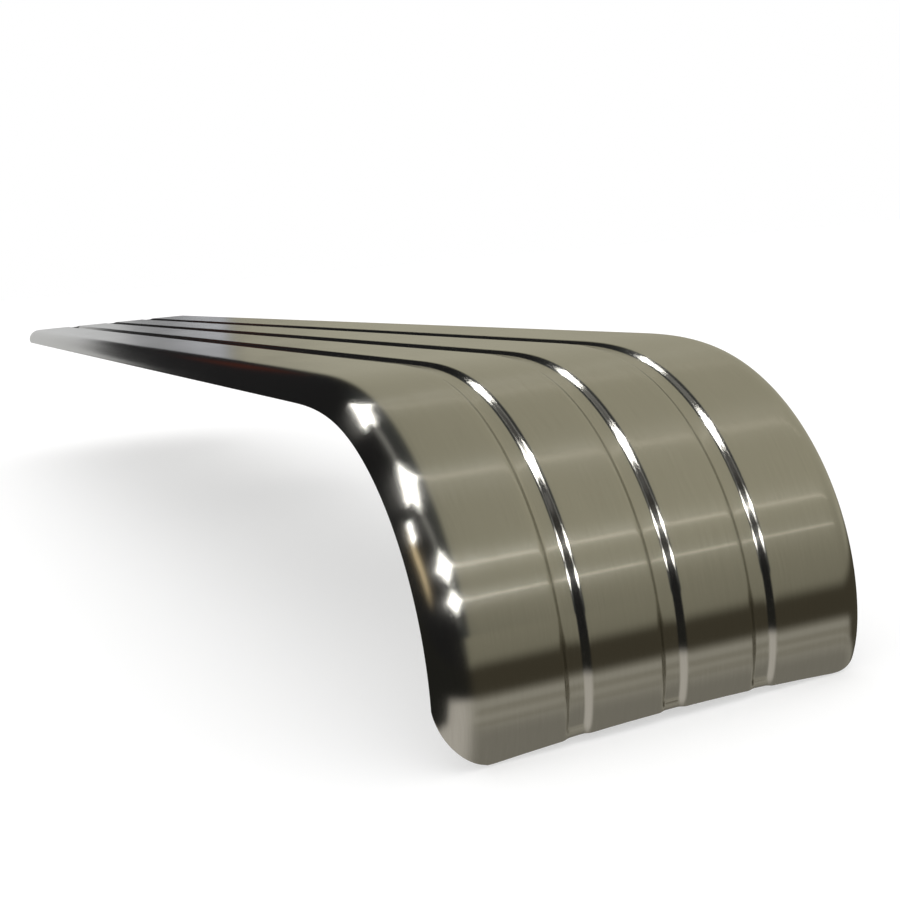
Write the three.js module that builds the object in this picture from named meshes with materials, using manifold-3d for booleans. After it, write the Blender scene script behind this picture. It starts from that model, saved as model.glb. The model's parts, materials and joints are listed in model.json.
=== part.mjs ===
// Stainless steel running board for a truck: a fluted tread sheet whose front end sweeps down,
// carried from below by two hat rails, three cantilever brackets and two formed straps.
// Millimetres, +Z up, X across the board (the vehicle is on the +X side), -Y is the drop end.
// The origin is the centre of the middle chassis plate's outer face.

import * as THREE from "three";
import { mergeVertices } from "three/addons/utils/BufferGeometryUtils.js";
import Module from "manifold-3d";

const wasm = await Module();
wasm.setup();

// ---- driving dimensions ----
const WIDTH = 254; // overall width over the rolled edges
const FLAT_LENGTH = 1288; // flat part of the tread
const EASE_LENGTH = 95; // developed length over which the bend eases in
const ARC_LENGTH = 173; // developed length of the drop at its constant radius
const CURL_LENGTH = 41; // developed length over which the lower edge curls tighter
const DROP_RADIUS = 142; // radius of the drop after the ease
const CURL_RADIUS = 55; // radius reached at the lower edge
const LOWER_ARCH = 7; // how much shorter the sheet is on its centre line than at its sides
const SHEET = 1.5; // sheet thickness
const ROLL_RADIUS = 20.3; // rolled long edges
const ROLL_ANGLE = THREE.MathUtils.degToRad(75);

// Corners of the developed sheet: how far each reaches across and along, and what share of it is a
// straight cut instead of an ellipse.
const REAR_CORNER = { across: 46, along: 71, straight: 0 };
const OUTBOARD_CORNER = { across: 31, along: 36, straight: 0.4 };
const INBOARD_CORNER = { across: 31, along: 22, straight: 0.1 };

const FLUTE_PITCH = 55.3;
const FLUTE_RIM = 15; // width at the tread surface
const FLUTE_FLOOR = 8.5;
const FLUTE_DEPTH = 2.5;
const FLUTE_FADE = 6; // run-out of each flute at the ends of the sheet
const FLUTE_END = 0.4; // share of its depth that a flute still has at the very end
const RIM_BEND = 4; // bend radii of the flute, on the tread side
const FLOOR_BEND = 3;

const GAP = 0.3; // clearance kept between pieces that touch

const RAIL = { length: 1240, endGap: 20, wall: 2, depth: 18, brim: 14, topHalf: 23.5, crownHalf: 20 };
const RAIL_X = FLUTE_PITCH; // each rail straddles an outer flute
const BRIM_STUD_X = 31; // brim studs, each side of a rail's centre line
const RAIL_STUD_Y = [130, 1110]; // from the rear end of the sheet

const BRACKET_Y = 480; // spacing of the brackets
const REAR_OVERHANG = 180; // rear end of the sheet to the rear bracket
const PAD = { thickness: 3, length: 44, width: 36 };
const ARM = { width: 40, wall: 3, tip: -80, tipDepth: 6.5, rootDepth: 60 };
const PLATE = { thickness: 6, width: 100, height: 80, corner: 8, slotX: 30, slotWidth: 9, slotLength: 24 };
const SIDE_CLEARANCE = 4; // between the rolled edge and the chassis plates
const PLATE_TOP = 18; // tread surface to the top of a chassis plate

const STRAP = { x: 83, width: 30, thickness: 3, start: 8, end: 262, studs: [60, 240] };
const BAR = { length: 200, leg: 25, thickness: 3 };

const M5 = { thread: 2.5, hole: 2.9, across: 8, height: 4.5, flange: 5.6, flangeHeight: 1.2, length: 11 };
const M6 = { thread: 3, hole: 3.4, across: 10, height: 5.5, flange: 7, flangeHeight: 1.4, length: 17 };
const M8 = { thread: 4, hole: 4.5, across: 13, height: 8, flange: 8.8, flangeHeight: 1.8 };
const CARRIAGE = { headRadius: 9, headHeight: 4.2, neck: 8, neckHoleSide: 8.8, neckDepth: 2.2 };

const ROUND = 16; // facets round a fastener
const QUARTER = Math.PI / 2;

// Places worked out from the dimensions above.
const BOARD_X = -(PLATE.thickness + SIDE_CLEARANCE + WIDTH / 2); // centre line of the board
const TREAD_Z = PLATE_TOP + PLATE.height / 2; // tread surface
const REAR_Y = REAR_OVERHANG + BRACKET_Y; // rear end of the sheet
const SHEET_LENGTH = FLAT_LENGTH + EASE_LENGTH + ARC_LENGTH + CURL_LENGTH;
const RAIL_TOP = -SHEET - GAP; // heights below are measured from the tread surface
const CROWN_Z = RAIL_TOP - RAIL.depth;
const PAD_TOP = CROWN_Z - GAP;
const ARM_TOP = PAD_TOP - PAD.thickness - GAP;
const NUT_TOP = ARM_TOP - ARM.wall - GAP;

// ---- materials ----
const metal = (color, roughness) => new THREE.MeshStandardMaterial({ color, roughness, metalness: 1 });
const brushedStainless = metal(0x9a9686, 0.32);
const stainlessFastener = metal(0xb4b2aa, 0.3);
const galvanised = metal(0x8f9396, 0.5);
const zincPlated = metal(0xa9a79c, 0.35);
const blackSteel = new THREE.MeshStandardMaterial({ color: 0x1b1c1d, roughness: 0.6, metalness: 0.4 });
const rubber = new THREE.MeshStandardMaterial({ color: 0x17181a, roughness: 0.9, metalness: 0 });

// ---- solids and booleans ----
function toManifold(geometry) {
  const bare = new THREE.BufferGeometry();
  bare.setAttribute("position", geometry.getAttribute("position"));
  bare.setIndex(geometry.index);
  const merged = mergeVertices(bare, 1e-4);
  return new wasm.Manifold(
    new wasm.Mesh({
      numProp: 3,
      vertProperties: new Float32Array(merged.getAttribute("position").array),
      triVerts: new Uint32Array(merged.index.array),
    }),
  );
}

function toGeometry(solid) {
  const mesh = solid.getMesh();
  const geometry = new THREE.BufferGeometry();
  geometry.setAttribute("position", new THREE.BufferAttribute(mesh.vertProperties, 3));
  geometry.setIndex(new THREE.BufferAttribute(mesh.triVerts, 1));
  geometry.computeVertexNormals();
  return geometry;
}

function cut(geometry, ...tools) {
  let solid = toManifold(geometry);
  for (const tool of tools) solid = solid.subtract(toManifold(tool));
  return toGeometry(solid);
}

function join(...geometries) {
  const solids = geometries.map(toManifold);
  return toGeometry(solids.reduce((whole, solid) => whole.add(solid)));
}

// A cylinder whose axis is vertical, from height low to height high.
function post(radius, low, high, x = 0, y = 0, facets = ROUND) {
  return new THREE.CylinderGeometry(radius, radius, high - low, facets)
    .rotateX(QUARTER)
    .translate(x, y, (low + high) / 2);
}

function block(width, length, height, x, y, z) {
  return new THREE.BoxGeometry(width, length, height).translate(x, y, z);
}

function shapeOf(points) {
  return new THREE.Shape(points.map(([x, y]) => new THREE.Vector2(x, y)));
}

function extrude(shape, depth) {
  return new THREE.ExtrudeGeometry(shape, { depth, bevelEnabled: false, curveSegments: 3 });
}

// ---- side profile of the board: distance s along the tread, measured from the rear end ----
// The slope eases in over EASE_LENGTH, turns at DROP_RADIUS, and then turns tighter and tighter
// until it reaches CURL_RADIUS at the lower edge.
function slopeAt(s) {
  const bend = Math.max(0, s - FLAT_LENGTH);
  const eased = Math.min(bend, EASE_LENGTH);
  const curled = Math.max(0, bend - EASE_LENGTH - ARC_LENGTH);
  const tightening = (1 / CURL_RADIUS - 1 / DROP_RADIUS) / CURL_LENGTH;
  const easedSlope = eased ** 2 / (2 * EASE_LENGTH * DROP_RADIUS);
  return easedSlope + (bend - eased) / DROP_RADIUS + (tightening * curled ** 2) / 2;
}

const PROFILE_STEP = 0.5;
const profile = [{ y: 0, z: 0 }];
for (let s = 0; s < SHEET_LENGTH; s += PROFILE_STEP) {
  const slope = slopeAt(s + PROFILE_STEP / 2);
  const last = profile[profile.length - 1];
  profile.push({
    y: last.y - PROFILE_STEP * Math.cos(slope),
    z: last.z - PROFILE_STEP * Math.sin(slope),
  });
}

// The point at distance s along the tread and offset below its surface, with x across.
function onBoard(x, s, below) {
  const i = Math.min(Math.floor(s / PROFILE_STEP), profile.length - 2);
  const t = s / PROFILE_STEP - i;
  const slope = slopeAt(s);
  const y = THREE.MathUtils.lerp(profile[i].y, profile[i + 1].y, t);
  const z = THREE.MathUtils.lerp(profile[i].z, profile[i + 1].z, t);
  return [x, y + below * Math.sin(slope), z - below * Math.cos(slope)];
}

// ---- cross-section of the sheet ----
// Each station has its place across (x), how far it lies below the tread (below), its outward normal
// (nx across, nz up), its distance from the centre line over the developed sheet (u), and how much of
// its depth belongs to a flute (flute).
function filletStations(corners, radii) {
  const stations = [];
  for (let i = 1; i < corners.length - 1; i += 1) {
    const corner = new THREE.Vector2(...corners[i]);
    const inDir = corner.clone().sub(new THREE.Vector2(...corners[i - 1])).normalize();
    const outDir = new THREE.Vector2(...corners[i + 1]).sub(corner).normalize();
    const turn = Math.acos(THREE.MathUtils.clamp(inDir.dot(outDir), -1, 1));
    const reach = radii[i] * Math.tan(turn / 2);
    for (const [dir, sign] of [[inDir, -1], [outDir, 1]]) {
      const point = corner.clone().addScaledVector(dir, sign * reach);
      stations.push({ x: point.x, below: -point.y, nx: -dir.y, nz: dir.x });
    }
  }
  return stations;
}

function fluteStations(centre) {
  const rim = FLUTE_RIM / 2;
  const floor = FLUTE_FLOOR / 2;
  const corners = [
    [centre - rim - 5, 0],
    [centre - rim, 0],
    [centre - floor, -FLUTE_DEPTH],
    [centre + floor, -FLUTE_DEPTH],
    [centre + rim, 0],
    [centre + rim + 5, 0],
  ];
  const radii = [0, RIM_BEND, FLOOR_BEND, FLOOR_BEND, RIM_BEND, 0];
  return filletStations(corners, radii).map((station) => ({ ...station, flute: station.below }));
}

const ROLL_X = WIDTH / 2 - ROLL_RADIUS * Math.sin(ROLL_ANGLE); // where the roll starts
const HALF_DEVELOPED = ROLL_X + ROLL_RADIUS * ROLL_ANGLE;
const ROLL_STEPS = 9;

// Stations of a rolled edge: side is -1 or +1. They crowd towards the edge, so that the rounded
// corners of the sheet are cut evenly.
function rollStations(side) {
  const stations = [];
  const start = HALF_DEVELOPED - REAR_CORNER.across;
  for (let i = 0; i <= ROLL_STEPS; i += 1) {
    const u = start + REAR_CORNER.across * Math.sin((QUARTER * i) / ROLL_STEPS);
    const angle = Math.max(0, u - ROLL_X) / ROLL_RADIUS;
    const x = angle > 0 ? ROLL_X + ROLL_RADIUS * Math.sin(angle) : u;
    stations.push({
      x: side * x,
      below: ROLL_RADIUS * (1 - Math.cos(angle)),
      nx: side * Math.sin(angle),
      nz: Math.cos(angle),
      u,
      flute: 0,
    });
  }
  return side < 0 ? stations.reverse() : stations;
}

const section = [
  ...rollStations(-1),
  ...fluteStations(-FLUTE_PITCH),
  ...fluteStations(0),
  ...fluteStations(FLUTE_PITCH),
  ...rollStations(1),
];

// How far a corner of the sheet sets the end back at a station.
function cornerSetback(station, { across, along, straight }) {
  const reach = Math.max(0, (station.u ?? 0) - (HALF_DEVELOPED - across)) / across;
  const ellipse = 1 - Math.sqrt(Math.max(0, 1 - reach ** 2));
  return along * (ellipse * (1 - straight) + reach * straight);
}

// Distances s at which the sheet starts and ends at a station.
function endsOf(station) {
  const corner = station.x < 0 ? OUTBOARD_CORNER : INBOARD_CORNER;
  const arch = LOWER_ARCH * (1 - (2 * station.x / WIDTH) ** 2);
  const last = SHEET_LENGTH - arch - cornerSetback(station, corner);
  return { first: cornerSetback(station, REAR_CORNER), last };
}

// Share of the flute's depth at distance s: the flutes get shallower towards both ends of the sheet.
function fluteShare(s, { first, last }) {
  const nearest = Math.min(s - first, last - s);
  return FLUTE_END + (1 - FLUTE_END) * THREE.MathUtils.smoothstep(nearest, 0, FLUTE_FADE);
}

const REAR_ZONE = REAR_CORNER.along + 4; // both end zones reach past the corners
const LOWER_ZONE = OUTBOARD_CORNER.along + 8;
const REAR_ROWS = 3;
const BEND_ROWS = 20;
const LOWER_ROWS = 5;

// Distances s of the rows of vertices along one station.
function rowsAlong(station) {
  const { first, last } = endsOf(station);
  const rows = [first, first + FLUTE_FADE / 2];
  for (let i = 0; i <= REAR_ROWS; i += 1) {
    rows.push(THREE.MathUtils.lerp(first + FLUTE_FADE, REAR_ZONE + FLUTE_FADE, i / REAR_ROWS));
  }
  const bendEnd = SHEET_LENGTH - LOWER_ZONE;
  for (let i = 0; i <= BEND_ROWS; i += 1) {
    rows.push(THREE.MathUtils.lerp(FLAT_LENGTH, bendEnd, i / BEND_ROWS));
  }
  for (let i = 1; i <= LOWER_ROWS; i += 1) {
    rows.push(THREE.MathUtils.lerp(bendEnd, last - FLUTE_FADE, i / LOWER_ROWS));
  }
  rows.push(last - FLUTE_FADE / 2, last);
  return rows;
}

function boardSkin() {
  const vertices = [];
  const rowCount = rowsAlong(section[0]).length;
  for (const depth of [0, SHEET]) {
    for (const station of section) {
      const ends = endsOf(station);
      for (const s of rowsAlong(station)) {
        const below = station.below - station.flute * (1 - fluteShare(s, ends)) + depth * station.nz;
        vertices.push(...onBoard(station.x - depth * station.nx, s, below));
      }
    }
  }
  const columns = section.length;
  const at = (layer, column, row) => (layer * columns + column) * rowCount + row;
  const faces = [];
  const quad = (a, b, c, d) => faces.push(a, b, c, a, c, d);
  for (let c = 0; c < columns - 1; c += 1) {
    for (let r = 0; r < rowCount - 1; r += 1) {
      quad(at(0, c, r), at(0, c, r + 1), at(0, c + 1, r + 1), at(0, c + 1, r));
      quad(at(1, c, r), at(1, c + 1, r), at(1, c + 1, r + 1), at(1, c, r + 1));
    }
  }
  for (let c = 0; c < columns - 1; c += 1) {
    const end = rowCount - 1;
    quad(at(0, c, 0), at(0, c + 1, 0), at(1, c + 1, 0), at(1, c, 0));
    quad(at(0, c + 1, end), at(0, c, end), at(1, c, end), at(1, c + 1, end));
  }
  for (let r = 0; r < rowCount - 1; r += 1) {
    const side = columns - 1;
    quad(at(0, 0, r + 1), at(0, 0, r), at(1, 0, r), at(1, 0, r + 1));
    quad(at(0, side, r), at(0, side, r + 1), at(1, side, r + 1), at(1, side, r));
  }
  const geometry = new THREE.BufferGeometry();
  geometry.setAttribute("position", new THREE.Float32BufferAttribute(vertices, 3));
  geometry.setIndex(faces);
  geometry.computeVertexNormals();
  return geometry;
}

// ---- rails ----
// Top-hat section with its brims up against the tread lands and its crown down.
function hatRail() {
  const { wall, depth, brim, topHalf, crownHalf } = RAIL;
  const outer = [
    [-topHalf - brim, 0],
    [-topHalf - brim, -wall],
    [-topHalf - wall, -wall],
    [-crownHalf - wall, -depth],
    [crownHalf + wall, -depth],
    [topHalf + wall, -wall],
    [topHalf + brim, -wall],
    [topHalf + brim, 0],
    [topHalf, 0],
    [crownHalf, -depth + wall],
    [-crownHalf, -depth + wall],
    [-topHalf, 0],
  ];
  const bar = extrude(shapeOf(outer), RAIL.length)
    .rotateX(QUARTER)
    .translate(0, -RAIL.endGap, RAIL_TOP);
  const holes = [];
  for (const y of RAIL_STUD_Y) {
    for (const side of [-1, 1]) {
      holes.push(post(M5.hole, RAIL_TOP - 2 * wall, RAIL_TOP + wall, side * BRIM_STUD_X, -y, 12));
    }
  }
  const side = CARRIAGE.neckHoleSide;
  for (const y of bracketStations) holes.push(block(side, side, 3 * wall, 0, y, CROWN_Z));
  return cut(bar, ...holes);
}

// Bracket places measured from the rear end of the sheet.
const bracketStations = [0, 1, 2].map((i) => -REAR_OVERHANG - i * BRACKET_Y);

// ---- fasteners ----
function flangeNut({ hole, across, height, flange, flangeHeight }) {
  const hexagon = new THREE.CylinderGeometry(across / Math.sqrt(3), across / Math.sqrt(3), height, 6)
    .rotateX(QUARTER)
    .translate(0, 0, -height / 2);
  const skirt = post(flange, -flangeHeight, 0);
  return cut(join(hexagon, skirt), post(hole - 0.1, -height - 1, 1, 0, 0, 12));
}

function weldStud({ thread, length }) {
  const foot = 0.8;
  const chamfer = 0.6;
  const points = [
    [0, 0],
    [thread + 0.3, 0],
    [thread + 0.3, -foot],
    [thread, -foot],
    [thread, -length + chamfer],
    [thread - chamfer, -length],
    [0, -length],
  ].map(([x, y]) => new THREE.Vector2(x, y));
  return new THREE.LatheGeometry(points.reverse(), 12).rotateX(QUARTER);
}

// Mushroom-headed bolt with its head inside the rail, its square neck in the crown and its thread down.
function carriageBolt() {
  const { headRadius, headHeight, neck, neckDepth } = CARRIAGE;
  const end = NUT_TOP - M8.height - 2 - (CROWN_Z + RAIL.wall);
  const outline = [
    [0, headHeight],
    [headRadius * 0.45, headHeight * 0.86],
    [headRadius * 0.8, headHeight * 0.55],
    [headRadius, GAP + 0.6],
    [headRadius, GAP],
    [M8.thread, GAP],
    [M8.thread, end + 1],
    [M8.thread - 1, end],
    [0, end],
  ].map(([x, y]) => new THREE.Vector2(x, y));
  const body = new THREE.LatheGeometry(outline.reverse(), ROUND).rotateX(QUARTER);
  return join(body, block(neck, neck, neckDepth, 0, 0, GAP + 0.1 - neckDepth / 2));
}

// ---- brackets ----
function isolatorPad() {
  const pad = block(PAD.width, PAD.length, PAD.thickness, 0, 0, PAD_TOP - PAD.thickness / 2);
  return cut(pad, post(M8.hole, PAD_TOP - 2 * PAD.thickness, PAD_TOP + PAD.thickness));
}

// Tapered channel, open below, from its tip under the outboard rail to the chassis plate.
function bracketArm() {
  const root = WIDTH / 2 + SIDE_CLEARANCE - GAP;
  const outline = [
    [ARM.tip, ARM_TOP],
    [ARM.tip, ARM_TOP - ARM.tipDepth],
    [root, ARM_TOP - ARM.rootDepth],
    [root, ARM_TOP],
  ];
  const hollow = [
    [ARM.tip - 1, ARM_TOP - ARM.wall],
    [ARM.tip - 1, ARM_TOP - 2 * ARM.rootDepth],
    [root + 1, ARM_TOP - 2 * ARM.rootDepth],
    [root + 1, ARM_TOP - ARM.wall],
  ];
  const across = (points, width) =>
    extrude(shapeOf(points), width).rotateX(QUARTER).translate(0, width / 2, 0);
  const holes = [-RAIL_X, RAIL_X].map((x) => post(M8.hole, ARM_TOP - 3 * ARM.wall, ARM_TOP + 1, x));
  return cut(across(outline, ARM.width), across(hollow, ARM.width - 2 * ARM.wall), ...holes);
}

function roundedRectangle(width, height, radius) {
  const x = width / 2 - radius;
  const y = height / 2 - radius;
  const shape = new THREE.Shape();
  shape.absarc(x, y, radius, 0, QUARTER);
  shape.absarc(-x, y, radius, QUARTER, 2 * QUARTER);
  shape.absarc(-x, -y, radius, 2 * QUARTER, 3 * QUARTER);
  shape.absarc(x, -y, radius, 3 * QUARTER, 4 * QUARTER);
  return shape;
}

// Slotted plate that bolts to the vehicle, its outer face at x = 0.
function chassisPlate() {
  const outline = roundedRectangle(PLATE.width, PLATE.height, PLATE.corner);
  const slots = [-1, 1].map((side) =>
    extrude(roundedRectangle(PLATE.slotWidth, PLATE.slotLength, PLATE.slotWidth / 2 - 0.01), 20)
      .translate(side * PLATE.slotX, 0, -10),
  );
  return cut(extrude(outline, PLATE.thickness), ...slots)
    .rotateX(QUARTER)
    .rotateZ(QUARTER)
    .translate(-PLATE.thickness, 0, 0);
}

// ---- drop end ----
// A strip that follows the inside of the curve between two distances from the start of the bend.
function formedStrip(width, from, to, top, thickness, steps) {
  const vertices = [];
  for (let i = 0; i <= steps; i += 1) {
    const s = FLAT_LENGTH + THREE.MathUtils.lerp(from, to, i / steps);
    for (const [x, below] of [[-1, top], [1, top], [1, top + thickness], [-1, top + thickness]]) {
      vertices.push(...onBoard((x * width) / 2, s, below));
    }
  }
  const faces = [0, 1, 2, 0, 2, 3];
  for (let i = 0; i < steps; i += 1) {
    for (let k = 0; k < 4; k += 1) {
      const a = 4 * i + k;
      const b = 4 * i + ((k + 1) % 4);
      faces.push(a, b + 4, b, a, a + 4, b + 4);
    }
  }
  const end = 4 * steps;
  faces.push(end, end + 2, end + 1, end, end + 3, end + 2);
  const geometry = new THREE.BufferGeometry();
  geometry.setAttribute("position", new THREE.Float32BufferAttribute(vertices, 3));
  geometry.setIndex(faces);
  return geometry;
}

// Turns a geometry made about the origin, with its top at z = 0, to sit under the tread at s.
function placeUnder(geometry, x, s, below) {
  const slope = slopeAt(s);
  return geometry.rotateX(slope).translate(...onBoard(x, s, below));
}

function dropStrap(x) {
  const strip = formedStrip(STRAP.width, STRAP.start, STRAP.end, SHEET + GAP, STRAP.thickness, 24);
  const holes = STRAP.studs.map((s) => placeUnder(post(M6.hole, -12, 2), 0, FLAT_LENGTH + s, 0));
  return cut(strip, ...holes).translate(x, 0, 0);
}

// Angle bar: one leg lies on the straps, the other stands inwards at its upper edge.
function dropCrossBar() {
  const { leg, thickness, length } = BAR;
  const outline = [
    [-leg / 2, 0],
    [-leg / 2, -thickness],
    [leg / 2 - thickness, -thickness],
    [leg / 2 - thickness, -leg],
    [leg / 2, -leg],
    [leg / 2, 0],
  ];
  const bar = extrude(shapeOf(outline), length)
    .rotateX(QUARTER)
    .rotateZ(QUARTER)
    .translate(-length / 2, 0, 0);
  const holes = [-STRAP.x, STRAP.x].map((x) => post(M6.hole, -3 * thickness, thickness, x));
  return placeUnder(cut(bar, ...holes), 0, FLAT_LENGTH + STRAP.studs[1], BAR_TOP);
}

// The strap is curved and the bar is straight, so the bar stands off by the curve's rise over its leg.
const BAR_RISE = DROP_RADIUS - Math.sqrt(DROP_RADIUS ** 2 - (BAR.leg / 2) ** 2);
const BAR_TOP = SHEET + STRAP.thickness + 2 * GAP + BAR_RISE;

// ---- assembly ----
const root = new THREE.Group();
const board = new THREE.Group();
board.position.set(BOARD_X, REAR_Y, TREAD_Z);
root.add(board);

function add(parent, name, geometry, material, x = 0, y = 0, z = 0) {
  const mesh = new THREE.Mesh(geometry, material);
  mesh.name = name;
  mesh.position.set(x, y, z);
  parent.add(mesh);
}

add(board, "board_skin", boardSkin(), brushedStainless);

const sides = [
  { name: "outboard", sign: -1 },
  { name: "inboard", sign: 1 },
];

function addRail({ name, sign }) {
  const x = sign * RAIL_X;
  add(board, `${name}_rail`, hatRail(), galvanised, x);
  let count = 0;
  for (const y of RAIL_STUD_Y) {
    for (const brimSide of [-1, 1]) {
      count += 1;
      const studX = x + brimSide * BRIM_STUD_X;
      add(board, `${name}_rail_stud_${count}`, weldStud(M5), stainlessFastener, studX, -y, RAIL_TOP);
      const nutZ = RAIL_TOP - RAIL.wall - GAP;
      add(board, `${name}_rail_nut_${count}`, flangeNut(M5), stainlessFastener, studX, -y, nutZ);
    }
  }
}

function addDropStrap({ name, sign }) {
  const x = sign * STRAP.x;
  add(board, `${name}_drop_strap`, dropStrap(x), galvanised);
  STRAP.studs.forEach((distance, i) => {
    const s = FLAT_LENGTH + distance;
    const place = i === 0 ? "upper" : "lower";
    const under = SHEET + STRAP.thickness + 2 * GAP;
    const nutBelow = i === 0 ? under : BAR_TOP + BAR.thickness + GAP;
    const stud = placeUnder(weldStud(M6), x, s, SHEET + GAP);
    add(board, `${name}_strap_stud_${place}`, stud, stainlessFastener);
    const nut = placeUnder(flangeNut(M6), x, s, nutBelow);
    add(board, `${name}_strap_nut_${place}`, nut, stainlessFastener);
  });
}

function addBracket(name, y) {
  const bracket = new THREE.Group();
  bracket.position.set(0, y, 0);
  board.add(bracket);
  add(bracket, `bracket_arm_${name}`, bracketArm(), blackSteel);
  add(root, `chassis_plate_${name}`, chassisPlate(), blackSteel, 0, REAR_Y + y, 0);
  for (const side of sides) {
    const x = side.sign * RAIL_X;
    add(bracket, `isolator_pad_${name}_${side.name}`, isolatorPad(), rubber, x);
    const headZ = CROWN_Z + RAIL.wall;
    add(bracket, `carriage_bolt_${name}_${side.name}`, carriageBolt(), zincPlated, x, 0, headZ);
    add(bracket, `flange_nut_${name}_${side.name}`, flangeNut(M8), zincPlated, x, 0, NUT_TOP);
  }
}

sides.forEach(addRail);
sides.forEach(addDropStrap);
add(board, "drop_cross_bar", dropCrossBar(), galvanised);
["rear", "middle", "front"].forEach((name, i) => addBracket(name, bracketStations[i]));

export default root;
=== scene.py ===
"""Looks of the stainless steel running board: brushed sheet, plated and painted steel, rubber pads."""
import json
import math

import bmesh
import bpy
import numpy as np
from mathutils import Matrix, Vector


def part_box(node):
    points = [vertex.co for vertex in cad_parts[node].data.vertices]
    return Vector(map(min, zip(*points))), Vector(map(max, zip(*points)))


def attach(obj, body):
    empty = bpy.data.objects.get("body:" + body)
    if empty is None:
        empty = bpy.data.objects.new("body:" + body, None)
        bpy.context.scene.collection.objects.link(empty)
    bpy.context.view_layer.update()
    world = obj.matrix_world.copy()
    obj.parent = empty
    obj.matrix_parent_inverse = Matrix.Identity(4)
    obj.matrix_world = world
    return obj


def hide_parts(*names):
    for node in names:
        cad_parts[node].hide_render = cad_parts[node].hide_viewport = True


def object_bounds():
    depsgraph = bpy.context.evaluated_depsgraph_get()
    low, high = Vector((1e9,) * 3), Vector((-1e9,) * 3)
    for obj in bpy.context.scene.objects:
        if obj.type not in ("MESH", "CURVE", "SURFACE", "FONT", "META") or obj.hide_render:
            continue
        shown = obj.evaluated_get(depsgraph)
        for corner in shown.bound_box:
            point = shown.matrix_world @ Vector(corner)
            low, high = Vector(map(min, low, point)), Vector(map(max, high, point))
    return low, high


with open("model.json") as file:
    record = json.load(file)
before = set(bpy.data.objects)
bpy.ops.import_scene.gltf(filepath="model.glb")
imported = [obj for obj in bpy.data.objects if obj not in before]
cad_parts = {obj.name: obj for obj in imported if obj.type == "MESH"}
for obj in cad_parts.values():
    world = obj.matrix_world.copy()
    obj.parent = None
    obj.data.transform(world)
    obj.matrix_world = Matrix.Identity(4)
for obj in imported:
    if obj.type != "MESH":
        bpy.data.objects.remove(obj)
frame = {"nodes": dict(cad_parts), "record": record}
cad_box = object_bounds()

MM = 0.001

# ---- the sheet, in metres, as in the CAD part ----
FLAT_LENGTH = 1.288
EASE_LENGTH = 0.095
ARC_LENGTH = 0.173
CURL_LENGTH = 0.041
DROP_RADIUS = 0.142
CURL_RADIUS = 0.055
LOWER_ARCH = 0.007
SHEET = 0.0015
ROLL_RADIUS = 0.0203
ROLL_ANGLE = math.radians(75)
REAR_CORNER = (0.046, 0.071, 0.0)  # reach across, reach along, share that is a straight cut
OUTBOARD_CORNER = (0.031, 0.036, 0.4)
INBOARD_CORNER = (0.031, 0.022, 0.1)
FLUTE_PITCH = 0.0553
FLUTE_RIM = 0.015
FLUTE_FLOOR = 0.0085
FLUTE_DEPTH = 0.0025
FLUTE_FADE = 0.006
FLUTE_END = 0.4  # share of its depth that a flute still has at the very end
RIM_BEND = 0.004
FLOOR_BEND = 0.003
RIM_EDGE = 0.0004  # how far the rounded edge of the sheet stands out of its cut
RIM_STEPS = 6  # faces round that edge
SHEET_LENGTH = FLAT_LENGTH + EASE_LENGTH + ARC_LENGTH + CURL_LENGTH

# ---- how finely the sheet is divided ----
ROLL_COLUMNS = 24
BEND_COLUMNS = 6
FLUTE_COLUMNS = 2
LAND_COLUMNS = 12
ROWS = [5, 16, 64, 118, 14, 5]  # rear fade, rear corners, flat, drop, lower corners, lower fade
REAR_MARGIN = 0.004  # how far a zone of corners reaches past its corners
LOWER_MARGIN = 0.008

# ---- the sheet's place, from the CAD part ----
skin_low, skin_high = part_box("board_skin")
WIDTH = skin_high.x - skin_low.x
CENTRE_X = (skin_high.x + skin_low.x) / 2
REAR_Y = skin_high.y
TREAD_Z = skin_high.z


# ---- camera ----
def place_camera():
    """The viewpoint is given in board widths from the rear end of the centre line."""
    eye = Vector((-1.3477, -7.8613, 0.2434))
    forward = Vector((0.40044, 0.90360, -0.15215))
    down = Vector((-0.14107, -0.10327, -0.98460))
    data = bpy.data.cameras.new("camera")
    data.sensor_width = 36
    data.lens = 51.36
    camera = bpy.data.objects.new("camera", data)
    back = -forward.normalized()
    right = (-down).cross(back).normalized()
    axes = Matrix((right, back.cross(right), back)).transposed()
    camera.matrix_world = axes.to_4x4()
    camera.location = Vector((CENTRE_X, REAR_Y, TREAD_Z)) + WIDTH * eye
    bpy.context.scene.collection.objects.link(camera)
    bpy.context.scene.camera = camera


# ---- side profile ----
def slope_at(s):
    """How far the tread has turned down at distance s. It eases in, keeps its radius, then tightens."""
    bend = np.maximum(0, s - FLAT_LENGTH)
    eased = np.minimum(bend, EASE_LENGTH)
    curled = np.maximum(0, bend - EASE_LENGTH - ARC_LENGTH)
    tightening = (1 / CURL_RADIUS - 1 / DROP_RADIUS) / CURL_LENGTH
    eased_slope = eased**2 / (2 * EASE_LENGTH * DROP_RADIUS)
    return eased_slope + (bend - eased) / DROP_RADIUS + tightening * curled**2 / 2


PROFILE_STEP = 0.25 * MM
profile_s = np.arange(0, SHEET_LENGTH + PROFILE_STEP, PROFILE_STEP)
profile_slope = slope_at(profile_s + PROFILE_STEP / 2)
profile_y = np.concatenate([[0], -np.cumsum(np.cos(profile_slope)) * PROFILE_STEP])[:-1]
profile_z = np.concatenate([[0], -np.cumsum(np.sin(profile_slope)) * PROFILE_STEP])[:-1]


def on_board(x, s, height):
    """Points x across, s along the tread from the rear end, and height above it."""
    slope = slope_at(s)
    y = np.interp(s, profile_s, profile_y) - height * np.sin(slope)
    z = np.interp(s, profile_s, profile_z) + height * np.cos(slope)
    return np.stack([CENTRE_X + x, REAR_Y + y, TREAD_Z + z], axis=-1)


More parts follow.
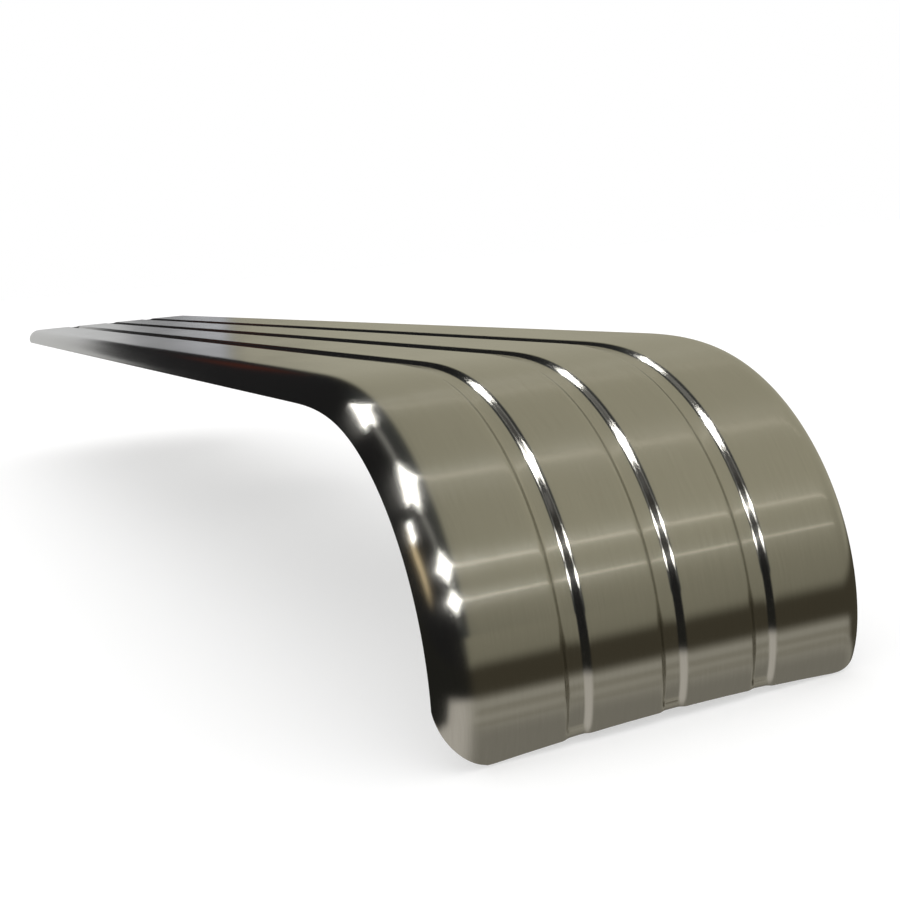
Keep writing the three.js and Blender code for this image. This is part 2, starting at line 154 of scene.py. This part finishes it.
# ---- cross-section ----
def section_segments():
    """Straights and arcs from the outboard edge to the inboard one, as (length, turn, in a flute)."""
    wall_angle = math.atan2(FLUTE_DEPTH, (FLUTE_RIM - FLUTE_FLOOR) / 2)
    rim_reach = RIM_BEND * math.tan(wall_angle / 2)
    floor_reach = FLOOR_BEND * math.tan(wall_angle / 2)
    wall = FLUTE_DEPTH / math.sin(wall_angle) - rim_reach - floor_reach
    rim = (RIM_BEND * wall_angle, -wall_angle, True)
    foot = (FLOOR_BEND * wall_angle, wall_angle, True)
    side = (wall, 0, True)
    floor = (FLUTE_FLOOR - 2 * floor_reach, 0, True)
    flute = [rim, side, foot, floor, foot, side, rim]
    half_opening = FLUTE_RIM / 2 + rim_reach
    land = (FLUTE_PITCH - 2 * half_opening, 0, False)
    roll_start = WIDTH / 2 - ROLL_RADIUS * math.sin(ROLL_ANGLE)
    shoulder = (roll_start - FLUTE_PITCH - half_opening, 0, False)
    roll = (ROLL_RADIUS * ROLL_ANGLE, -ROLL_ANGLE, False)
    return [roll, shoulder, *flute, land, *flute, land, *flute, shoulder, roll]


def section_pieces():
    """Each segment with its start: developed distance, point, heading, length, turn, in a flute."""
    u, x, z, heading = 0.0, -WIDTH / 2, -ROLL_RADIUS * (1 - math.cos(ROLL_ANGLE)), ROLL_ANGLE
    pieces = []
    for length, turn, in_flute in section_segments():
        pieces.append((u, x, z, heading, length, turn, in_flute))
        middle = heading + turn / 2
        chord = length if turn == 0 else 2 * length / turn * math.sin(turn / 2)
        x += chord * math.cos(middle)
        z += chord * math.sin(middle)
        u += length
        heading += turn
    return pieces, u


def columns_of(at_edge, turn, in_flute):
    if at_edge:
        return ROLL_COLUMNS
    if turn:
        return BEND_COLUMNS
    return FLUTE_COLUMNS if in_flute else LAND_COLUMNS


def section_stations():
    """Columns of the sheet: arrays of u, x, z, heading and in a flute. They crowd towards its edges."""
    pieces, developed = section_pieces()
    last = len(pieces) - 1
    rows = []
    for index, (u, x, z, heading, length, turn, in_flute) in enumerate(pieces):
        steps = columns_of(index in (0, last), turn, in_flute)
        clear = RIM_EDGE / length
        for i in range(steps + (index == last)):
            t = i / steps
            if index == 0:
                t = clear + (1 - clear) * (1 - math.cos(t * math.pi / 2))
            elif index == last:
                t = (1 - clear) * math.sin(t * math.pi / 2)
            part = turn * t
            chord = length * t if abs(part) < 1e-9 else 2 * length * t / part * math.sin(part / 2)
            middle = heading + part / 2
            rows.append((u + length * t, x + chord * math.cos(middle),
                         z + chord * math.sin(middle), heading + part, in_flute))
    return np.array(rows, float), developed


def corner_setback(from_edge, corner):
    """How much shorter a corner makes the sheet at a distance from its long edge."""
    across, along, straight = corner
    reach = np.clip((across - from_edge) / across, 0, 1)
    ellipse = 1 - np.sqrt(1 - reach**2)
    return along * (ellipse * (1 - straight) + reach * straight)


def smoothstep(t):
    """0 below 0, 1 above 1, and a smooth S between them."""
    t = np.clip(t, 0, 1)
    return t * t * (3 - 2 * t)


def row_shares():
    """Rows of the grid as (zone, share of the zone)."""
    rows = [(zone, i / n) for zone, n in enumerate(ROWS) for i in range(n)]
    return rows + [(len(ROWS) - 1, 1.0)]


def skin_grid():
    """Outer and inner points of the sheet, with developed coordinates, as columns by rows."""
    stations, developed = section_stations()
    u, x, z, heading, in_flute = stations.T
    outboard = u < developed / 2
    from_edge = np.minimum(u, developed - u)
    first = corner_setback(from_edge, REAR_CORNER) + RIM_EDGE
    lower = np.where(outboard, corner_setback(from_edge, OUTBOARD_CORNER),
                     corner_setback(from_edge, INBOARD_CORNER))
    last = SHEET_LENGTH - LOWER_ARCH * (1 - (2 * x / WIDTH) ** 2) - lower - RIM_EDGE
    rear_zone = REAR_CORNER[1] + REAR_MARGIN + FLUTE_FADE
    lower_zone = SHEET_LENGTH - OUTBOARD_CORNER[1] - LOWER_MARGIN
    ones = np.ones_like(u)
    stops = [first, first + FLUTE_FADE, rear_zone * ones, FLAT_LENGTH * ones,
             lower_zone * ones, last - FLUTE_FADE, last]
    s = np.stack([stops[k] + (stops[k + 1] - stops[k]) * t for k, t in row_shares()], axis=1)
    nearest = np.minimum(s - first[:, None], last[:, None] - s)
    run_out = FLUTE_END + (1 - FLUTE_END) * smoothstep(nearest / FLUTE_FADE)
    share = np.where(in_flute[:, None] > 0, run_out, 1.0)
    height = z[:, None] * share
    tilt = heading[:, None] * share
    across = x[:, None] * np.ones_like(s)
    outer = on_board(across, s, height)
    inner = on_board(across + SHEET * np.sin(tilt), s, height - SHEET * np.cos(tilt))
    return outer, inner, np.stack([u[:, None] * np.ones_like(s), s], axis=-1)


def rim_loops(outer, inner, border):
    """Rounded edge of the sheet: rings of points between the outer and the inner border."""
    top = outer[border[:, 0], border[:, 1]]
    bottom = inner[border[:, 0], border[:, 1]]
    middle = (top + bottom) / 2
    normal = (top - bottom) / 2
    along = np.roll(middle, -1, axis=0) - np.roll(middle, 1, axis=0)
    outwards = np.cross(along, normal)
    outwards /= np.linalg.norm(outwards, axis=1, keepdims=True)
    angles = [math.pi * k / RIM_STEPS for k in range(1, RIM_STEPS)]
    return [middle + math.cos(a) * normal + RIM_EDGE * math.sin(a) * outwards for a in angles]


def border_cells(columns, rows):
    """Grid places round the border, anticlockwise seen from above the tread."""
    right, end = columns - 1, rows - 1
    rear = [(c, 0) for c in range(right, 0, -1)]
    left = [(0, r) for r in range(end)]
    lower = [(c, end) for c in range(right)]
    inboard = [(right, r) for r in range(end, 0, -1)]
    return np.array(rear + left + lower + inboard)


def sheet_faces(columns, rows):
    """Faces of the outer side and, turned round, of the inner side."""
    count = columns * rows
    faces = []
    for c in range(columns - 1):
        for r in range(rows - 1):
            here = c * rows + r
            beside = here + rows
            faces.append((here, here + 1, beside + 1, beside))
            faces.append((here + count, beside + count, beside + 1 + count, here + 1 + count))
    return faces


def rim_faces(border, columns, rows, rings):
    """Faces of the rounded edge, from the outer border over the rings to the inner border."""
    count = columns * rows
    around = len(border)
    edge = border[:, 0] * rows + border[:, 1]
    between = [2 * count + k * around + np.arange(around) for k in range(rings)]
    levels = [edge, *between, edge + count]
    faces = []
    for upper, under in zip(levels[:-1], levels[1:]):
        for i in range(around):
            j = (i + 1) % around
            faces.append((int(upper[i]), int(under[i]), int(under[j]), int(upper[j])))
    return faces


def add_developed_uv(mesh, coordinates):
    """UV layer of each point's place on the unrolled sheet: across and along it, in metres."""
    layer = mesh.uv_layers.new(name="developed")
    loops = np.zeros(len(mesh.loops), np.int32)
    mesh.loops.foreach_get("vertex_index", loops)
    layer.data.foreach_set("uv", coordinates[loops].astype(np.float32).ravel())


def make_skin():
    """The pressed sheet as one closed mesh with a rounded edge."""
    outer, inner, developed = skin_grid()
    columns, rows = outer.shape[:2]
    border = border_cells(columns, rows)
    rings = rim_loops(outer, inner, border)
    points = np.concatenate([outer.reshape(-1, 3), inner.reshape(-1, 3), *rings])
    faces = sheet_faces(columns, rows) + rim_faces(border, columns, rows, len(rings))
    mesh = bpy.data.meshes.new("brushed_skin")
    mesh.from_pydata(points.tolist(), [], faces)
    on_sheet = developed.reshape(-1, 2)
    on_rim = [developed[border[:, 0], border[:, 1]]] * len(rings)
    add_developed_uv(mesh, np.concatenate([on_sheet, on_sheet, *on_rim]))
    mesh.shade_smooth()
    mesh.validate()
    skin = bpy.data.objects.new("brushed_skin", mesh)
    bpy.context.scene.collection.objects.link(skin)
    return skin


# ---- node helpers ----
class Tree:
    """Short forms for the nodes that the materials and the world are made of."""

    def __init__(self, owner):
        owner.use_nodes = True
        self.tree = owner.node_tree
        self.tree.nodes.clear()
        self.of_world = isinstance(owner, bpy.types.World)

    def node(self, kind, **settings):
        made = self.tree.nodes.new(kind)
        for name, value in settings.items():
            setattr(made, name, value)
        return made

    def put(self, socket, value):
        """Links a socket to another one, or sets it to a plain value."""
        if isinstance(value, bpy.types.NodeSocket):
            self.tree.links.new(value, socket)
        else:
            socket.default_value = value

    def math(self, operation, a, b=0.0):
        made = self.node("ShaderNodeMath", operation=operation)
        self.put(made.inputs[0], a)
        self.put(made.inputs[1], b)
        return made.outputs[0]

    def ramp(self, value, low, high, to_low=0.0, to_high=1.0):
        """Smooth step of value from to_low at low to to_high at high."""
        made = self.node("ShaderNodeMapRange", interpolation_type="SMOOTHSTEP")
        for name, number in zip(("From Min", "From Max", "To Min", "To Max"),
                                (low, high, to_low, to_high)):
            self.put(made.inputs[name], number)
        self.put(made.inputs["Value"], value)
        return made.outputs["Result"]

    def product(self, first, *others):
        for other in others:
            first = self.math("MULTIPLY", first, other)
        return first

    def mix(self, share, a, b, blend="MIX"):
        """Colour a where share is 0, and b, or a blended with b, where it is 1."""
        made = self.node("ShaderNodeMix", data_type="RGBA", blend_type=blend)
        self.put(made.inputs["Factor"], share)
        self.put(made.inputs[6], a)
        self.put(made.inputs[7], b)
        return made.outputs[2]

    def noise(self, vector, scale=1.0, detail=2.0):
        made = self.node("ShaderNodeTexNoise")
        self.put(made.inputs["Vector"], vector)
        made.inputs["Scale"].default_value = scale
        made.inputs["Detail"].default_value = detail
        return made.outputs["Fac"]

    def scaled(self, vector, factors):
        made = self.node("ShaderNodeVectorMath", operation="MULTIPLY")
        self.put(made.inputs[0], vector)
        made.inputs[1].default_value = factors
        return made.outputs[0]

    def bump(self, height, strength, distance):
        made = self.node("ShaderNodeBump")
        made.inputs["Strength"].default_value = strength
        made.inputs["Distance"].default_value = distance
        self.put(made.inputs["Height"], height)
        return made.outputs["Normal"]

    def place(self):
        return self.node("ShaderNodeTexCoord").outputs["Object"]

    def show(self, shader):
        out = self.node("ShaderNodeOutputWorld" if self.of_world else "ShaderNodeOutputMaterial")
        self.tree.links.new(shader.outputs[0], out.inputs["Surface"])

    def surface(self, **inputs):
        """Principled surface, with its sockets named by words joined with _."""
        shader = self.node("ShaderNodeBsdfPrincipled")
        for name, value in inputs.items():
            self.put(shader.inputs[name.replace("_", " ")], value)
        self.show(shader)


def rgb(r, g, b):
    return (r, g, b, 1.0)


# ---- materials ----
def brushed_stainless():
    """Sheet brushed along its length, so that highlights spread across it."""
    material = bpy.data.materials.new("brushed_stainless")
    t = Tree(material)
    uv = t.node("ShaderNodeUVMap", uv_map="developed").outputs["UV"]
    grain = t.noise(t.scaled(uv, (3200, 60, 1)), detail=3)
    coarse = t.noise(t.scaled(uv, (700, 9, 1)), detail=2)
    cloud = t.noise(t.scaled(uv, (30, 9, 1)), detail=3)
    streaky = t.math("ADD", t.math("MULTIPLY", grain, 0.7), t.math("MULTIPLY", coarse, 0.3))
    colour = t.mix(t.ramp(streaky, 0.3, 0.7), rgb(0.545, 0.53, 0.48), rgb(0.585, 0.57, 0.518))
    roughness = t.math("ADD", t.ramp(streaky, 0.3, 0.7, 0.148, 0.166),
                       t.ramp(cloud, 0.3, 0.7, -0.006, 0.008))
    tangent = t.node("ShaderNodeTangent", direction_type="UV_MAP", uv_map="developed").outputs[0]
    t.surface(Base_Color=colour, Metallic=1.0, Roughness=roughness, Anisotropic=1.0,
              Tangent=tangent, Normal=t.bump(streaky, 0.03, 0.05 * MM))
    return material


def galvanised_steel():
    """Dull zinc with a faint spangle."""
    material = bpy.data.materials.new("galvanised_steel")
    t = Tree(material)
    place = t.place()
    cells = t.node("ShaderNodeTexVoronoi")
    t.put(cells.inputs["Vector"], place)
    cells.inputs["Scale"].default_value = 160
    tone = t.node("ShaderNodeSeparateColor")
    t.put(tone.inputs[0], cells.outputs["Color"])
    spangle = tone.outputs[0]
    cloud = t.noise(place, 30, 4)
    colour = t.mix(spangle, rgb(0.42, 0.44, 0.45), rgb(0.60, 0.62, 0.63))
    roughness = t.math("ADD", t.math("MULTIPLY", spangle, 0.16), t.ramp(cloud, 0.3, 0.7, 0.34, 0.46))
    normal = t.bump(t.noise(place, 900, 3), 0.12, 0.05 * MM)
    t.surface(Base_Color=colour, Metallic=1.0, Roughness=roughness, Normal=normal)
    return material


def powder_coat():
    """Black paint with a fine orange peel."""
    material = bpy.data.materials.new("black_powder_coat")
    t = Tree(material)
    place = t.place()
    texture = t.noise(place, 1400, 2)
    wear = t.noise(place, 40, 5)
    colour = t.mix(t.ramp(wear, 0.35, 0.75), rgb(0.016, 0.016, 0.018), rgb(0.034, 0.034, 0.036))
    roughness = t.ramp(wear, 0.3, 0.7, 0.42, 0.56)
    normal = t.bump(texture, 0.35, 0.08 * MM)
    t.surface(Base_Color=colour, Metallic=0.0, Roughness=roughness, Normal=normal)
    return material


def plated(name, low, high, roughness):
    """Stainless or zinc plated fastener metal, with faint machining marks."""
    material = bpy.data.materials.new(name)
    t = Tree(material)
    place = t.place()
    marks = t.noise(t.scaled(place, (600, 600, 3200)), detail=2)
    cloud = t.noise(place, 180, 3)
    colour = t.mix(t.ramp(cloud, 0.3, 0.7), low, high)
    rough = t.math("ADD", t.ramp(marks, 0.3, 0.7, roughness - 0.05, roughness + 0.06),
                   t.ramp(cloud, 0.3, 0.7, -0.02, 0.03))
    t.surface(Base_Color=colour, Metallic=1.0, Roughness=rough, Normal=t.bump(marks, 0.1, 0.03 * MM))
    return material


def rubber():
    """Matt moulded rubber with a little bloom."""
    material = bpy.data.materials.new("isolator_rubber")
    t = Tree(material)
    place = t.place()
    pores = t.noise(place, 1500, 3)
    bloom = t.noise(place, 70, 4)
    colour = t.mix(t.ramp(bloom, 0.4, 0.8), rgb(0.012, 0.012, 0.012), rgb(0.030, 0.029, 0.028))
    t.surface(Base_Color=colour, Metallic=0.0, Roughness=t.ramp(bloom, 0.3, 0.7, 0.74, 0.88),
              Normal=t.bump(pores, 0.3, 0.06 * MM))
    return material


def dress_cad_nodes():
    """Gives every carried-over CAD node the material of its slot."""
    stainless = plated("stainless_fastener", rgb(0.58, 0.57, 0.54), rgb(0.68, 0.67, 0.64), 0.26)
    zinc = plated("zinc_plated", rgb(0.52, 0.52, 0.47), rgb(0.66, 0.65, 0.58), 0.32)
    finishes = {
        "galvanised_steel": galvanised_steel(),
        "black_steel": powder_coat(),
        "stainless_fastener": stainless,
        "zinc_plated": zinc,
        "isolator_rubber": rubber(),
    }
    for subpart in frame["record"]["subparts"]:
        node = frame["nodes"][subpart["node"]]
        if subpart["material_slot"] in finishes:
            node.data.materials.clear()
            node.data.materials.append(finishes[subpart["material_slot"]])


# ---- floor ----
FLOOR_HALF = 30
FLOOR_DROP = 0.001  # floor below the lowest point of the part


def make_floor():
    """Pale floor, which a camera below it looks through."""
    mesh = bpy.data.meshes.new("floor")
    made = bmesh.new()
    bmesh.ops.create_grid(made, x_segments=2, y_segments=2, size=FLOOR_HALF)
    made.to_mesh(mesh)
    made.free()
    floor = bpy.data.objects.new("floor", mesh)
    floor.location = (0, 0, cad_box[0][2] - FLOOR_DROP)
    bpy.context.scene.collection.objects.link(floor)
    material = bpy.data.materials.new("pale_floor")
    t = Tree(material)
    cloud = t.noise(t.place(), 0.6, 2)
    under = t.node("ShaderNodeNewGeometry").outputs["Backfacing"]
    t.surface(Base_Color=t.mix(cloud, rgb(0.60, 0.60, 0.60), rgb(0.62, 0.62, 0.62)),
              Roughness=0.9, Specular_IOR_Level=0.1, Emission_Color=rgb(1, 1, 1),
              Emission_Strength=0.42, Alpha=t.math("SUBTRACT", 1, under))
    mesh.materials.append(material)
    floor.visible_glossy = False


# ---- what the steel mirrors ----
def direction_of_sight(t):
    """X, Y, azimuth, elevation and arch of a direction. Azimuth 0 is +Y and 90 is +X, and arch is its
    angle in the YZ plane, from +Y over the top. The angles are in degrees."""
    split = t.node("ShaderNodeSeparateXYZ")
    t.put(split.inputs[0], t.node("ShaderNodeTexCoord").outputs["Generated"])
    x, y, z = split.outputs
    azimuth = t.math("DEGREES", t.math("ARCTAN2", x, y))
    arch = t.math("DEGREES", t.math("ARCTAN2", z, y))
    return x, y, azimuth, t.math("DEGREES", t.math("ARCSINE", z)), arch


def warm_side(t, y, elevation):
    """Warm grey wall, dimmer low down behind the camera."""
    low = t.ramp(elevation, -6, 34, 0.60, 1.0)
    dim = t.mix(t.ramp(y, 0.2, -0.3), rgb(1, 1, 1), low)
    return t.mix(1.0, rgb(0.44, 0.42, 0.325), dim, blend="MULTIPLY")


def dark_side(t, x, arch):
    """Dark side of the room, with a faint glow that joins the lamps and a golden one at its edge."""
    cool = t.product(t.ramp(x, -0.3, 0.1), t.ramp(arch, 30, 50))
    room = t.mix(cool, rgb(0.016, 0.016, 0.017), rgb(0.050, 0.055, 0.057))
    line = t.math("ADD", t.ramp(arch, 54, 102, -0.276, -0.425), t.ramp(arch, 102, 160, 0, 0.262))
    off_line = t.math("ABSOLUTE", t.math("SUBTRACT", x, line))
    glow = t.product(t.ramp(off_line, 0.10, 0.01), t.ramp(arch, 34, 54), t.ramp(arch, 172, 160))
    room = t.mix(glow, room, rgb(0.50, 0.50, 0.49))
    off_edge = t.math("ABSOLUTE", t.math("ADD", x, 0.94))
    edge = t.product(t.ramp(off_edge, 0.04, 0.01), t.ramp(arch, 60, 100), t.ramp(arch, 160, 130))
    return t.mix(edge, room, rgb(1.30, 1.05, 0.66))


def pale_window(t, azimuth, elevation):
    """Share of a pale low patch beyond the rear end, with a bowed top and a sharp right side."""
    bow = t.math("SUBTRACT", 9.0, t.product(0.06, azimuth, azimuth))
    over = t.math("SUBTRACT", elevation, t.math("MAXIMUM", bow, 4.8))
    return t.product(t.ramp(azimuth, -12, -8), t.ramp(azimuth, 14.8, 14.4), t.ramp(over, 1.0, -0.4))


def bench_colour(t, x, azimuth, elevation):
    """Grey bench, paler on the left, with faint wavy lines across it."""
    steps = t.node("ShaderNodeCombineXYZ")
    t.put(steps.inputs[0], t.math("MULTIPLY", azimuth, 0.02))
    t.put(steps.inputs[1], t.math("MULTIPLY", elevation, 0.30))
    lines = t.noise(steps.outputs[0], 1.0, 1)
    plain = t.mix(t.ramp(lines, 0.38, 0.62), rgb(0.30, 0.285, 0.24), rgb(0.385, 0.37, 0.325))
    plain = t.mix(t.ramp(elevation, -27, -42), plain, rgb(0.255, 0.245, 0.215))
    return t.mix(t.ramp(x, 0.25, -0.5), plain, rgb(0.60, 0.575, 0.54))


def make_world():
    """A white room for the camera. Reflections see a dark side, a warm grey side and a bench."""
    world = bpy.data.worlds.new("studio")
    bpy.context.scene.world = world
    t = Tree(world)
    x, y, azimuth, elevation, arch = direction_of_sight(t)
    low_right = t.math("MULTIPLY", t.ramp(azimuth, 14.4, 14.8), t.ramp(elevation, 7.5, 5.5))
    right = t.math("MAXIMUM", t.ramp(x, 0.24, 0.31), low_right)
    red = t.product(t.ramp(azimuth, 2, 6), t.ramp(azimuth, 13, 9),
                t.ramp(elevation, 11.5, 13), t.ramp(elevation, 16, 14.5))
    dark = t.mix(red, dark_side(t, x, arch), rgb(0.07, 0.020, 0.013))
    room = t.mix(right, dark, warm_side(t, y, elevation))
    pale = t.mix(t.ramp(azimuth, 10.9, 9.7), rgb(0.36, 0.365, 0.375), rgb(0.60, 0.605, 0.61))
    pale = t.mix(t.ramp(azimuth, 11.5, 14), pale, rgb(0.56, 0.57, 0.60))
    room = t.mix(pale_window(t, azimuth, elevation), room, pale)
    below = t.mix(t.ramp(x, -0.2, 0.25), rgb(0.020, 0.020, 0.018), rgb(0.066, 0.058, 0.040))
    edge = t.mix(t.ramp(elevation, -2.5, -8.5), room, below)
    lower = t.math("ADD", elevation, t.ramp(y, -0.5, -0.2, 0, 9))
    shown = t.mix(t.ramp(lower, -16, -21), edge, bench_colour(t, x, azimuth, elevation))
    path = t.node("ShaderNodeLightPath")
    shown = t.mix(path.outputs["Is Camera Ray"], shown, rgb(1, 1, 1))
    shown = t.mix(path.outputs["Is Diffuse Ray"], shown, rgb(1.2, 1.2, 1.2))
    background = t.node("ShaderNodeBackground")
    t.put(background.inputs["Color"], shown)
    t.show(background)


# ---- lamps ----
DROP_CENTRE = Vector((CENTRE_X, REAR_Y - FLAT_LENGTH - 0.1, TREAD_Z - 0.05))
LAMP_DISTANCE = 3.0
STAR_POINTS = 64
STAR_POWER = 3.8  # above 2 the sides of the star are hollow
STAR_RADIANCE = 12
STRIP_LENGTH = 4.4
STRIP_WIDTH = 0.035
STRIP_SIDE = 0.3  # the strips' directions lean to +X by this much, so that the face mirrors them

# Azimuth, elevation, half width and half height of the star, strip radiance.
LAMPS = [
    (-26, 51, 1.10, 0.75, 0.45),
    (-115, 62, 1.40, 0.82, 0.80),
    (-164, 34, 1.10, 0.50, 0.62),
    (-170, 20, 0.90, 0.36, 0.50),
    (-96, 27, 0.45, 0.28, 0),
]


def aim(azimuth, elevation):
    """Unit vector from an azimuth and an elevation in degrees."""
    a, e = math.radians(azimuth), math.radians(elevation)
    return Vector((math.sin(a) * math.cos(e), math.cos(a) * math.cos(e), math.sin(e)))


def facing(direction):
    """Frame at LAMP_DISTANCE in that direction from the curved end: X across, Z towards the lamp."""
    direction = direction.normalized()
    side = (Vector((1, 0, 0)) - direction * direction.x).normalized()
    axes = Matrix((side, direction.cross(side), direction)).transposed()
    return Matrix.Translation(DROP_CENTRE + direction * LAMP_DISTANCE) @ axes.to_4x4()


def star_point(angle, half_across, half_up):
    across = math.copysign(abs(math.cos(angle)) ** STAR_POWER, math.cos(angle))
    up = math.copysign(abs(math.sin(angle)) ** STAR_POWER, math.sin(angle))
    return (half_across * across, half_up * up, 0)


def glowing(name):
    material = bpy.data.materials.new(name)
    t = Tree(material)
    glow = t.node("ShaderNodeEmission")
    glow.inputs["Strength"].default_value = STAR_RADIANCE
    t.show(glow)
    return material


def add_star(name, direction, half_across, half_up):
    """A four-pointed glowing card, which only reflections see."""
    centre = STAR_POINTS
    outline = [star_point(2 * math.pi * i / STAR_POINTS, half_across, half_up)
               for i in range(STAR_POINTS)]
    faces = [(i, (i + 1) % STAR_POINTS, centre) for i in range(STAR_POINTS)]
    mesh = bpy.data.meshes.new(name)
    mesh.from_pydata(outline + [(0, 0, 0)], [], faces)
    mesh.materials.append(glowing(name))
    star = bpy.data.objects.new(name, mesh)
    star.matrix_world = facing(direction)
    star.visible_camera = False
    star.visible_diffuse = False
    star.visible_shadow = False
    bpy.context.scene.collection.objects.link(star)


def add_strip(name, direction, radiance):
    """A long thin area light across the board, whose reflection is a line across the curve."""
    data = bpy.data.lights.new(name, "AREA")
    data.shape = "RECTANGLE"
    data.size = STRIP_LENGTH
    data.size_y = STRIP_WIDTH
    data.energy = radiance * math.pi * STRIP_LENGTH * STRIP_WIDTH
    data.color = (1.0, 0.94, 0.86)
    strip = bpy.data.objects.new(name, data)
    strip.matrix_world = facing(direction)
    strip.visible_camera = False
    strip.visible_diffuse = False
    bpy.context.scene.collection.objects.link(strip)


def make_lamps():
    """Star lamps over the curved end, and a strip of light above the face at four of them."""
    for i, (azimuth, elevation, half_across, half_up, radiance) in enumerate(LAMPS):
        direction = aim(azimuth, elevation)
        add_star(f"lamp_{i + 1}", direction, half_across, half_up)
        if radiance > 0:
            above_face = Vector((STRIP_SIDE, direction.y, direction.z))
            add_strip(f"strip_{i + 1}", above_face, radiance)


# ---- the scene ----
place_camera()
make_floor()
make_world()
make_lamps()
dress_cad_nodes()

skin = make_skin()
skin.data.materials.append(brushed_stainless())
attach(skin, "root")
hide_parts("board_skin")

bpy.context.scene.view_settings.view_transform = "Standard"
